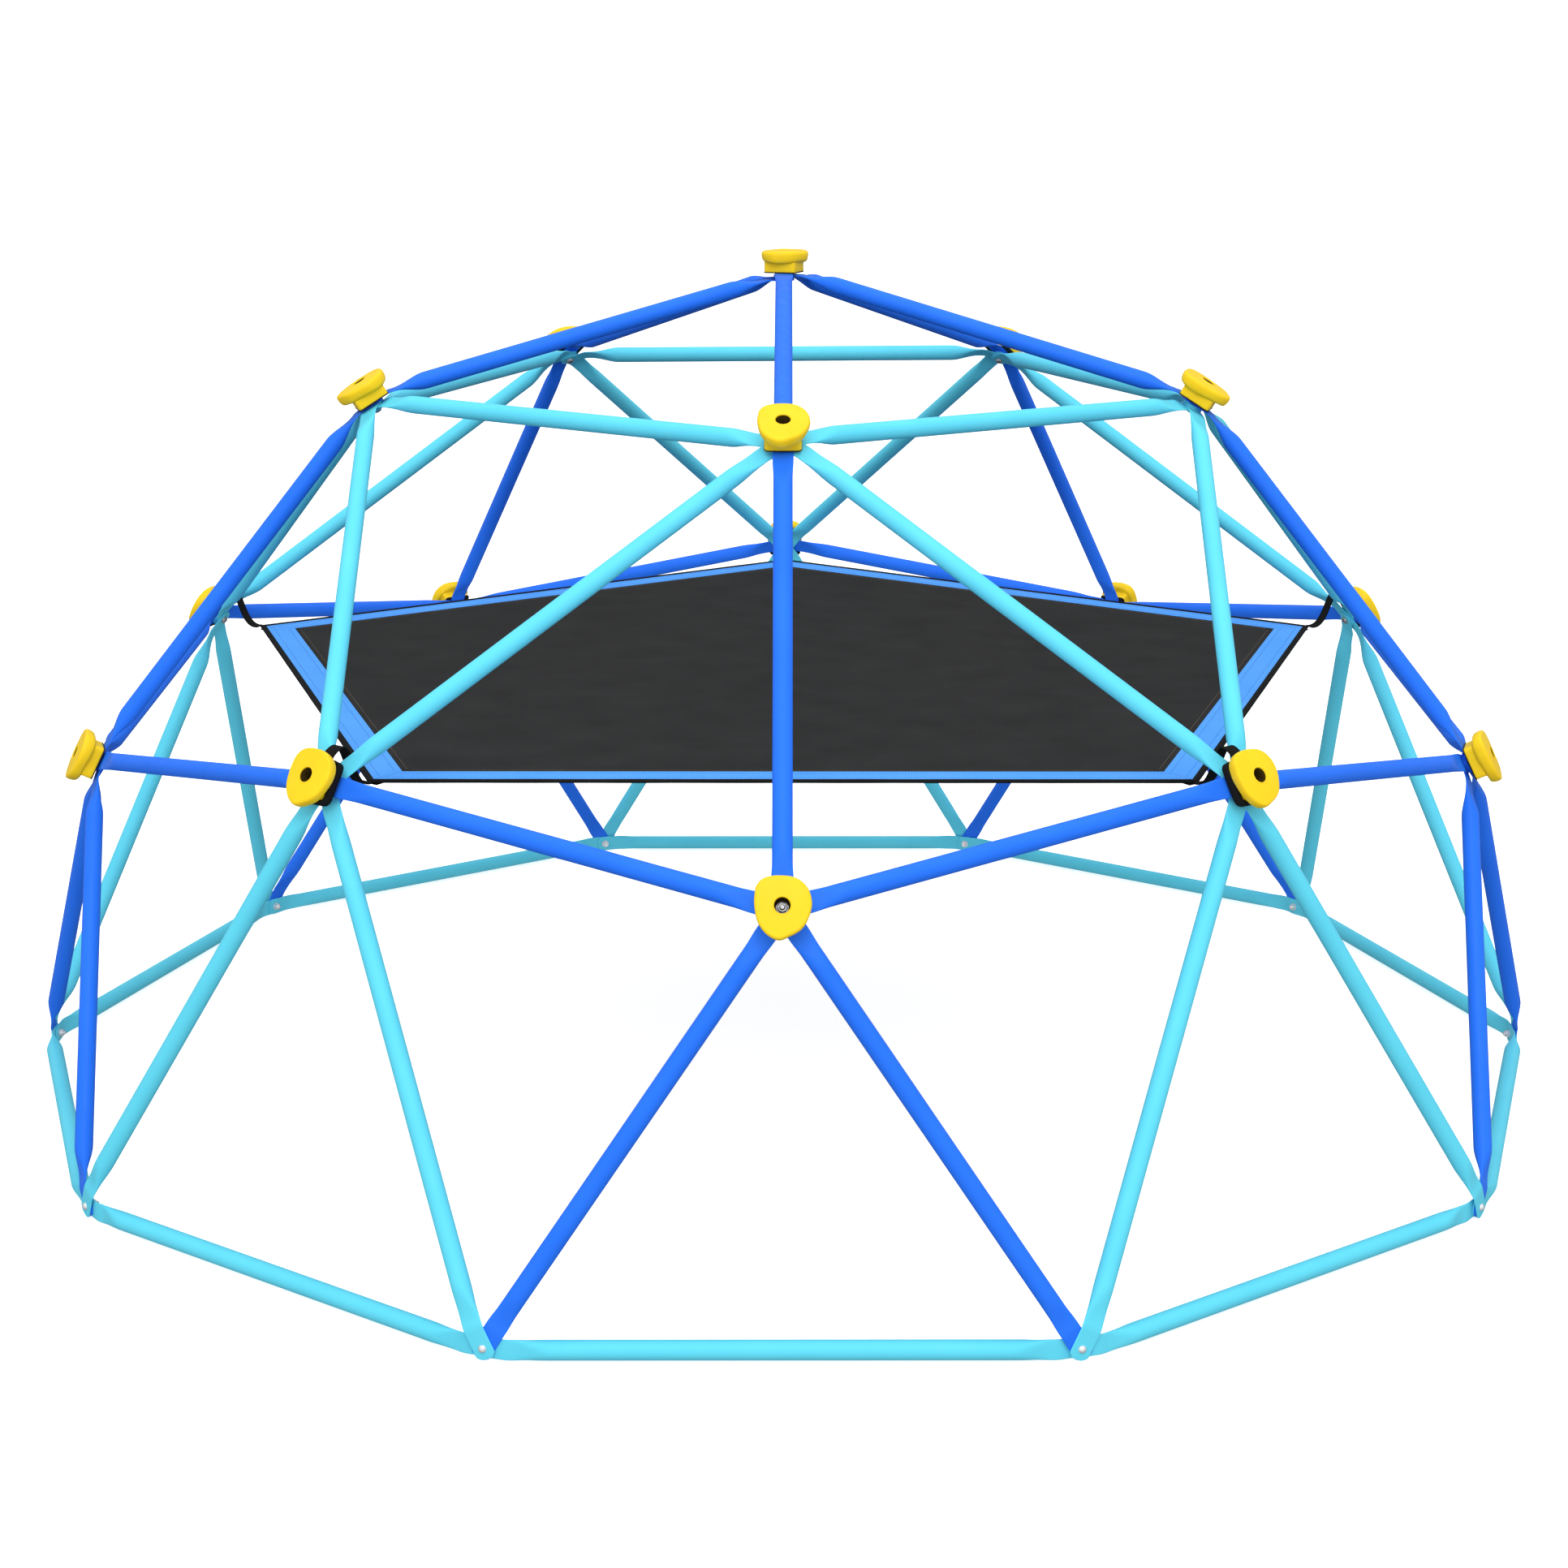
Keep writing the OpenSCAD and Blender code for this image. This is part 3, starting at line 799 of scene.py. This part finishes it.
def thread_rings(bottom, top):
    """Rings of a threaded stretch with a chamfered end at its top."""
    steps = ceil((top - bottom) / (THREAD_PITCH / 8))
    rings = []
    for i in range(steps + 1):
        z = mix(bottom, top, i / steps)
        end = max(0.0, 1 - (top - z) / 0.9)
        ring = []
        for j in range(FASTENER_POINTS):
            angle = tau * j / FASTENER_POINTS
            phase = (z / THREAD_PITCH - angle / tau) % 1
            radius = BOLT_R - THREAD_DEPTH * abs(2 * phase - 1)
            radius = min(radius, BOLT_R - 0.9 * end)
            ring.append((radius * cos(angle), radius * sin(angle), z))
        rings.append(ring)
    return rings


def bolt_shape(head, shank_top, tip):
    """A head's rings, a plain shank and a threaded end, going up."""
    shape = Shape()
    shape.sweep(turned_rings(head + [(BOLT_R - 0.3, shank_top)])
                + thread_rings(shank_top + 0.05, tip))
    return shape


def grip_bolt_shape(stack):
    """A button-headed bolt with a hexagon socket, its head below the stack."""
    bottom = -stack_top(stack) / MM
    socket = hexagon(SOCKET_AF)
    head = [(socket, bottom - BUTTON_H + 2.5), (socket, bottom - BUTTON_H + 0.35),
            (chamfered(99, SOCKET_AF * 0.62), bottom - BUTTON_H)]
    for i in range(7):
        angle = radians(mix(BUTTON_CROWN, 4, i / 6))
        rise = (BUTTON_H - BUTTON_LAND) * sin(angle) / sin(radians(BUTTON_CROWN))
        level = bottom - rise - BUTTON_LAND + BUTTON_LAND * (i / 6)
        head.append((mix(BUTTON_FACE_R, BUTTON_R, cos(angle)), level))
    head += [(BUTTON_R, bottom), (BOLT_R, bottom)]
    nut_bottom = -bottom + PAD_T + RECESS_FLOOR + WASHER_T
    return bolt_shape(head, nut_bottom, nut_bottom + NUT_H + BOLT_END)


def base_bolt_shape():
    """A domed bolt, drawn head down: its head outside the dome, its thread inside."""
    top = -stack_top(BASE_STACK) / MM
    sphere = (DOME_R ** 2 + DOME_H ** 2) / (2 * DOME_H)
    head = []
    for i in range(9):
        radius = mix(0.3, DOME_R, i / 8)
        head.append((radius, top - (sqrt(sphere ** 2 - radius ** 2) - (sphere - DOME_H))))
    head += [(DOME_R, top), (BOLT_R, top)]
    nut_bottom = -top + WASHER_T
    return bolt_shape(head, nut_bottom, nut_bottom + NUT_H + BOLT_END)


def fasteners(name, node, hubs, shape_of, offset_of, metal=ZINC_BRIGHT, flipped=False):
    """One piece of the same fastener on many hubs, at a height in the hub's frame."""
    whole = Shape()
    flip = Matrix.Rotation(pi, 4, "X") if flipped else Matrix.Identity(4)
    for index, hub in enumerate(hubs):
        spin = Matrix.Rotation(index * 0.9, 4, "Z")
        whole.merge(shape_of(hub.stack), place(hub, offset_of(hub)) @ flip @ spin)
    piece(name, whole, metal, nodes=[node], crease=32)


def washer_level(hub):
    return stack_top(hub.stack) + (PAD_T + RECESS_FLOOR) * MM


nut = nut_shape()
grip_washer = washer_shape(GRIP_WASHER_R)
base_washer = washer_shape(BASE_WASHER_R)
base_bolt = base_bolt_shape()
grip_bolt_of = {stack: grip_bolt_shape(stack) for stack in (TOP_STACK, UPPER_STACK)}

# The fasteners at the grips take the darker copy of the zinc, which is painted shade
fasteners("grip_bolts_zinc", "grip_bolts", grip_hubs, grip_bolt_of.get, lambda hub: 0.0,
          metal=ZINC_SHADED)
fasteners("grip_washers_zinc", "grip_washers", grip_hubs, lambda stack: grip_washer, washer_level,
          metal=ZINC_SHADED)
fasteners("grip_nuts_zinc", "grip_nuts", grip_hubs, lambda stack: nut,
          lambda hub: washer_level(hub) + WASHER_T * MM, metal=ZINC_SHADED)
fasteners("base_bolts_zinc", "base_bolts", base_hubs, lambda stack: base_bolt, lambda hub: 0.0,
          flipped=True)
fasteners("base_washers_zinc", "base_washers", base_hubs, lambda stack: base_washer,
          lambda hub: -stack_top(hub.stack) - WASHER_T * MM)
fasteners("base_nuts_zinc", "base_nuts", base_hubs, lambda stack: nut,
          lambda hub: -stack_top(hub.stack) - (WASHER_T + NUT_H) * MM)


# ---------------------------------------------------------------- mat

panel_low, panel_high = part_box("mat_panel")
border_low, border_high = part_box("mat_border")
edging_low, edging_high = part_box("mat_edging")
# A corner of the mat points straight back, so a pentagon's apothem comes from its farthest +Y
PANEL_OUTER = panel_high.y * cos(HALF_TURN)
BORDER_OUTER = border_high.y * cos(HALF_TURN)
MAT_OUTER = edging_high.y * cos(HALF_TURN)
BORDER_INNER = BORDER_OUTER - BORDER_W


def corner_point(apothem, k):
    """Corner k of a pentagon whose corners lie under the mid hubs."""
    angle = TURN * k + HALF_TURN
    radius = apothem / cos(HALF_TURN)
    return Vector((radius * sin(angle), -radius * cos(angle), 0))


def pentagon_ring(apothem, height, per_side):
    ring = []
    for k in range(SIDES):
        start, end = corner_point(apothem, k), corner_point(apothem, k + 1)
        for i in range(per_side):
            point = start.lerp(end, i / per_side)
            ring.append(Vector((point.x, point.y, height(point))))
    return ring


def sag(point):
    """How far the panel hangs at a point: most in the middle, nothing at the border."""
    share = min(1.0, Vector((point.x, point.y)).length / BORDER_INNER)
    return -PANEL_SAG * (1 - share ** 2) ** 2


def panel_shape():
    """The fabric as a thin closed slab of two layers, sagging a little in the middle."""
    per_side = 16
    steps = 22
    rings = []
    for side in (1, -1):
        level = panel_high.z if side > 0 else panel_low.z
        shares = [i / steps for i in range(1, steps + 1)]
        if side < 0:
            shares.reverse()
        for share in shares:
            rings.append(pentagon_ring(PANEL_OUTER * share, lambda p, z=level: z + sag(p), per_side))
    shape = Shape()
    shape.sweep(rings, uvs=[[(p.x, p.y) for p in ring] for ring in rings])
    return shape


def border_shape(k):
    """One mitred strip of the border, puffed a little between its rows of stitches."""
    outer_start, outer_end = corner_point(BORDER_OUTER, k), corner_point(BORDER_OUTER, k + 1)
    inner_start, inner_end = corner_point(BORDER_INNER, k), corner_point(BORDER_INNER, k + 1)
    along_steps, over_steps = 40, 14
    length = (outer_end - outer_start).length
    rings, uvs = [], []
    for i in range(along_steps + 1):
        t = mix(0.0006, 0.9994, i / along_steps)
        outer, inner = outer_start.lerp(outer_end, t), inner_start.lerp(inner_end, t)
        ring, ring_uv = [], []
        for j in range(over_steps + 1):
            share = j / over_steps
            dip = min(abs(share - stitch) for stitch in (0, *STITCH_SHARES, 1))
            puff = BORDER_PUFF * (1 - 2.718 ** (-(dip / 0.055)))
            point = inner.lerp(outer, share)
            ring.append(Vector((point.x, point.y, border_high.z - BORDER_PUFF + puff)))
            ring_uv.append((t * length, share * BORDER_W))
        for j in range(over_steps, -1, -1):
            point = inner.lerp(outer, j / over_steps)
            ring.append(Vector((point.x, point.y, border_low.z)))
            ring_uv.append((t * length, j / over_steps * BORDER_W))
        rings.append(ring)
        uvs.append(ring_uv)
    shape = Shape()
    shape.sweep(rings, uvs=uvs)
    return shape


def edging_shape():
    """The binding, folded round the mat's edge as a rounded bar with mitred corners."""
    middle = (BORDER_OUTER + MAT_OUTER) / 2
    half_w = (MAT_OUTER - BORDER_OUTER) / 2
    half_t = (edging_high.z - edging_low.z) / 2
    height = (edging_high.z + edging_low.z) / 2
    steps = 30
    rings, uvs = [], []
    travelled = 0.0
    for k in range(SIDES):
        start, end = corner_point(middle, k), corner_point(middle, k + 1)
        out_start, out_end = corner_point(1, k), corner_point(1, k + 1)
        for i in range(steps):
            t = i / steps
            point = start.lerp(end, t)
            outward = out_start.lerp(out_end, t)
            ring, ring_uv = [], []
            for j in range(16):
                angle = tau * j / 16
                x = abs(cos(angle)) ** 0.7 * (1 if cos(angle) >= 0 else -1)
                y = abs(sin(angle)) ** 0.7 * (1 if sin(angle) >= 0 else -1)
                wave = 0.25 * MM * sin(140 * (travelled + t) + 2 * y)
                lift = Vector((0, 0, height + half_t * y * 0.97 + wave * 0.5))
                ring.append(point + outward * (half_w * x) + lift)
                ring_uv.append((travelled + t * (end - start).length, j / 16 * 4 * half_w))
            rings.append(ring)
            uvs.append(ring_uv)
        travelled += (end - start).length
    shape = Shape()
    shape.sweep(rings, closed=True, uvs=uvs)
    return shape


def add_stitch(shape, start, end, up, radius):
    """One stitch: a short thread, high in the middle and sunk at both ends."""
    along = unit(end - start)
    side = along.cross(up)
    rings, uvs = [], []
    length = (end - start).length
    for share, size, lift in STITCH_SECTIONS:
        centre = start.lerp(end, share) + up * (lift * radius)
        ring = []
        for j in range(6):
            angle = tau * j / 6
            ring.append(centre + side * (radius * size * cos(angle)) + up * (radius * size * sin(angle)))
        rings.append(ring)
        uvs.append([(share * length, j * 0.2 * MM) for j in range(6)])
    shape.sweep(rings, uvs=uvs)


def stitch_row(shape, start, end, radius=STITCH_R):
    """A row of stitches between two points on the mat's top face."""
    count = int((end - start).length / STITCH_PITCH)
    along = unit(end - start)
    up = Vector((0, 0, 1))
    for i in range(count):
        middle = start.lerp(end, (i + 0.5) / count)
        half = along * (STITCH_LENGTH / 2)
        add_stitch(shape, middle - half, middle + half, up, radius)


def row_at(apothem, k, height):
    lift = Vector((0, 0, height))
    inset = 0.006
    start, end = corner_point(apothem, k), corner_point(apothem, k + 1)
    return start.lerp(end, inset) + lift, end.lerp(start, inset) + lift


panel = piece("mat_panel_cloth", panel_shape(), FABRIC, nodes=["mat_panel"],
              body="mat", crease=60)
border = Shape()
for k in range(SIDES):
    border.merge(border_shape(k), Matrix.Identity(4))
border_piece = piece("mat_border_cloth", border, BORDER, nodes=["mat_border"],
                     body="mat", crease=60)
edging_piece = piece("mat_edging_binding", edging_shape(), WEBBING, nodes=["mat_edging"],
                     body="mat", crease=60)

border_stitches = Shape()
panel_stitches = Shape()
for k in range(SIDES):
    for share in STITCH_SHARES:
        row_apothem = mix(BORDER_INNER, BORDER_OUTER, share)
        stitch_row(border_stitches, *row_at(row_apothem, k, border_high.z - BORDER_PUFF))
    stitch_row(panel_stitches, *row_at(BORDER_INNER - PANEL_STITCH_IN, k, panel_high.z))
border_thread = piece("mat_border_stitches", border_stitches, THREAD_BLUE, body="mat")
panel_thread = piece("mat_panel_stitches", panel_stitches, THREAD_TAN, body="mat")


# ---------------------------------------------------------------- corner straps


def bezier(a, b, c, d, t):
    return (1 - t) ** 3 * a + 3 * t * (1 - t) ** 2 * b + 3 * t * t * (1 - t) * c + t ** 3 * d


def strap_line(hub):
    """The strap's middle line in the hub's upright plane, from the mat's corner to the loop."""
    out = Vector((Vector((hub.normal.x, hub.normal.y)).length, hub.normal.z))
    up = Vector((-out.y, out.x))
    middle = Vector((Vector((hub.centre.x, hub.centre.y)).length, hub.centre.z))
    start = Vector((MAT_OUTER / cos(HALF_TURN) + STRAP_GAP, border_high.z - STRAP_T / 2))
    gate = middle + GATE_UP * up
    loop_out = (NECK_W / 2 + LOOP_GAP + LOOP_T) * MM - STRAP_T / 2
    loop_level = stack_top(hub.stack) + (PAD_T + (NECK_H - LOOP_H) / 2 + LOOP_H / 2) * MM
    finish = middle + loop_out * up + loop_level * out
    leave = start + Vector(CORNER_PULL) * MM
    reach = gate - (GATE_PULL_IN[0] * out + GATE_PULL_IN[1] * up) * MM
    line = [bezier(start, leave, reach, gate, i / 24) for i in range(24)]
    over = gate + GATE_PULL_OUT * MM * out
    down = finish + LOOP_PULL * MM * up
    line += [bezier(gate, over, down, finish, i / 14) for i in range(15)]
    return line, gate


def band_ring(angle, inner, outer, low, high):
    """One section of a band round a grip's neck, in millimetres in the hub's frame."""
    bevel = 0.5
    ring = []
    for grow, height in ((inner, low + bevel), (inner, high - bevel), (inner + bevel, high),
                         (outer - bevel, high), (outer, high - bevel), (outer, low + bevel),
                         (outer - bevel, low), (inner + bevel, low)):
        radius = neck_radius(angle, grow)
        ring.append(Vector((radius * sin(angle), radius * cos(angle), height)))
    return ring


def add_loop(shape, hub):
    """Webbing wrapped twice round the neck, its two turns not quite level."""
    base = PAD_T + (NECK_H - LOOP_H) / 2
    half = LOOP_T / 2
    points = 96
    for turn, tilt in ((0, 0.5), (1, -0.6)):
        inner = LOOP_GAP + turn * half + 0.05
        outer = inner + half - 0.1
        rings, uvs = [], []
        for i in range(points):
            angle = tau * i / points
            shift = tilt * cos(angle + 0.6) + 0.25 * sin(5 * angle + turn)
            bump = 0.5 * turn * max(0.0, cos(angle)) ** 8
            low = base + 0.7 + shift
            high = base + LOOP_H - 0.7 + shift
            rings.append(band_ring(angle, inner, outer + bump, low, high))
            uvs.append([(angle * NECK_W * MM * 0.6, j * 3 * MM) for j in range(8)])
        band = Shape()
        band.sweep(rings, closed=True, uvs=uvs)
        shape.merge(band, place(hub, stack_top(hub.stack)))


def strap_rings(line, hub, half_w, half_t):
    """A flat webbing section swept along a line in the hub's upright plane."""
    angle = azimuth(hub.centre)
    outward = Vector((sin(angle), -cos(angle), 0))
    side = Vector((cos(angle), sin(angle), 0))
    rings, uvs = [], []
    travelled = 0.0
    for i, point in enumerate(line):
        before, after = line[max(i - 1, 0)], line[min(i + 1, len(line) - 1)]
        along = unit(after - before)
        normal = Vector((-along.y, along.x))
        if i:
            travelled += (point - line[i - 1]).length
        centre = outward * point.x + Vector((0, 0, point.y))
        thick = outward * normal.x + Vector((0, 0, normal.y))
        bevel = half_t * 0.55
        ring, ring_uv = [], []
        for x, y in STRAP_SECTION:
            curl = 0.35 * MM * (x * x) * sin(i * 0.35)
            edge_w = half_w - (bevel if abs(x) == 1 else 0)
            ring.append(centre + side * (edge_w * x) + thick * (half_t * y + curl))
            ring_uv.append((travelled, x * half_w))
            if abs(x) == 1 and y == x:
                ring.append(centre + side * (half_w * x) + thick * curl)
                ring_uv.append((travelled, x * half_w * 1.05))
        rings.append(ring)
        uvs.append(ring_uv)
    return rings, uvs


def corner_strap(k, hub):
    line, gate = strap_line(hub)
    shape = Shape()
    rings, uvs = strap_rings(line, hub, STRAP_W / 2, STRAP_T / 2)
    shape.sweep(rings, uvs=uvs)
    add_loop(shape, hub)
    name = f"corner_strap_{k}"
    strap = piece(f"{name}_webbing", shape, WEBBING, nodes=[name], body=None, crease=50)
    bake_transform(strap)


def strap_tab(k, hub):
    """The sewn tail of a strap, under the mat's corner."""
    level = edging_low.z - STRAP_T / 2 - 0.1 * MM
    reach = MAT_OUTER / cos(HALF_TURN)
    line = [Vector((mix(reach - 95 * MM, reach - 8 * MM, i / 10), level)) for i in range(11)]
    rings, uvs = strap_rings(line, hub, STRAP_W / 2, STRAP_T / 2)
    shape = Shape()
    shape.sweep(rings, uvs=uvs)
    piece(f"strap_tab_{k}", shape, WEBBING, body="mat", crease=50)


for k, hub in enumerate(mid_hubs, start=1):
    corner_strap(k, hub)
    strap_tab(k, hub)


# ---------------------------------------------------------------- stage, light and camera


def stage_floor():
    mesh = bpy.data.meshes.new("floor")
    half = FLOOR_HALF
    corners = [(-half, -half, 0), (half, -half, 0), (half, half, 0), (-half, half, 0)]
    mesh.from_pydata(corners, [], [(0, 1, 2, 3)])
    look = Look("floor_pale", 0.9, specular=0.0)
    look.shader.inputs["Base Color"].default_value = (0.9, 0.9, 0.9, 1)
    look.shader.inputs["Emission Color"].default_value = (1, 1, 1, 1)
    look.shader.inputs["Emission Strength"].default_value = FLOOR_GLOW
    mesh.materials.append(look.material)
    floor = bpy.data.objects.new("floor", mesh)
    floor.location.z = -0.5 * MM
    bpy.context.scene.collection.objects.link(floor)
    floor.visible_diffuse = False
    floor.visible_glossy = False
    floor.visible_shadow = False


def white_surround():
    """A white shell that only the camera sees, so that every view has a plain background."""
    work = bmesh.new()
    bmesh.ops.create_uvsphere(work, u_segments=48, v_segments=24, radius=SURROUND_R)
    mesh = bpy.data.meshes.new("surround")
    work.to_mesh(mesh)
    work.free()
    look = Look("surround_white", 1.0, specular=0.0)
    look.shader.inputs["Base Color"].default_value = (0, 0, 0, 1)
    look.shader.inputs["Emission Color"].default_value = (1, 1, 1, 1)
    look.shader.inputs["Emission Strength"].default_value = SURROUND_GLOW
    mesh.materials.append(look.material)
    shell = bpy.data.objects.new("surround", mesh)
    bpy.context.scene.collection.objects.link(shell)
    shell.visible_diffuse = False
    shell.visible_glossy = False
    shell.visible_transmission = False
    shell.visible_shadow = False


def studio_world():
    """White light, strongest from the front and above, and weakest from behind and below."""
    world = bpy.data.worlds.new("studio")
    bpy.context.scene.world = world
    world.use_nodes = True
    nodes, links = world.node_tree.nodes, world.node_tree.links
    background = nodes["Background"]
    background.inputs["Color"].default_value = (1, 1, 1, 1)
    direction = nodes.new("ShaderNodeTexCoord").outputs["Generated"]
    towards = nodes.new("ShaderNodeVectorMath")
    towards.operation = "DOT_PRODUCT"
    towards.inputs[1].default_value = Vector(LIGHT_FROM).normalized()
    ramp = nodes.new("ShaderNodeMapRange")
    ramp.inputs["From Min"].default_value = -1.0
    ramp.inputs["From Max"].default_value = 1.0
    ramp.inputs["To Min"].default_value = LIGHT_WEAKEST
    ramp.inputs["To Max"].default_value = LIGHT_STRONGEST
    links.new(direction, towards.inputs[0])
    links.new(towards.outputs["Value"], ramp.inputs["Value"])
    links.new(ramp.outputs["Result"], background.inputs["Strength"])


def area_light(name, location, target, size, power):
    data = bpy.data.lights.new(name, "AREA")
    data.shape = "SQUARE"
    data.size = size
    data.energy = power
    light = bpy.data.objects.new(name, data)
    light.location = location
    light.rotation_euler = (Vector(target) - Vector(location)).to_track_quat("-Z", "Y").to_euler()
    bpy.context.scene.collection.objects.link(light)


def camera():
    data = bpy.data.cameras.new("camera")
    data.lens = 62.29
    data.sensor_width = 36
    data.clip_end = 100
    cam = bpy.data.objects.new("camera", data)
    cam.location = (0.010, -5.280, 1.933)
    cam.rotation_euler = (radians(75.32), 0, radians(0.108))
    bpy.context.scene.collection.objects.link(cam)
    bpy.context.scene.camera = cam


stage_floor()
white_surround()
studio_world()
area_light("key", (0.0, -5.0, 5.0), (0, 0, 0.8), 4.0, 120)
area_light("overhead", (0.0, 0.5, 6.0), (0, 0, 0.8), 5.0, 45)
camera()
bpy.context.scene.view_settings.view_transform = "Standard"
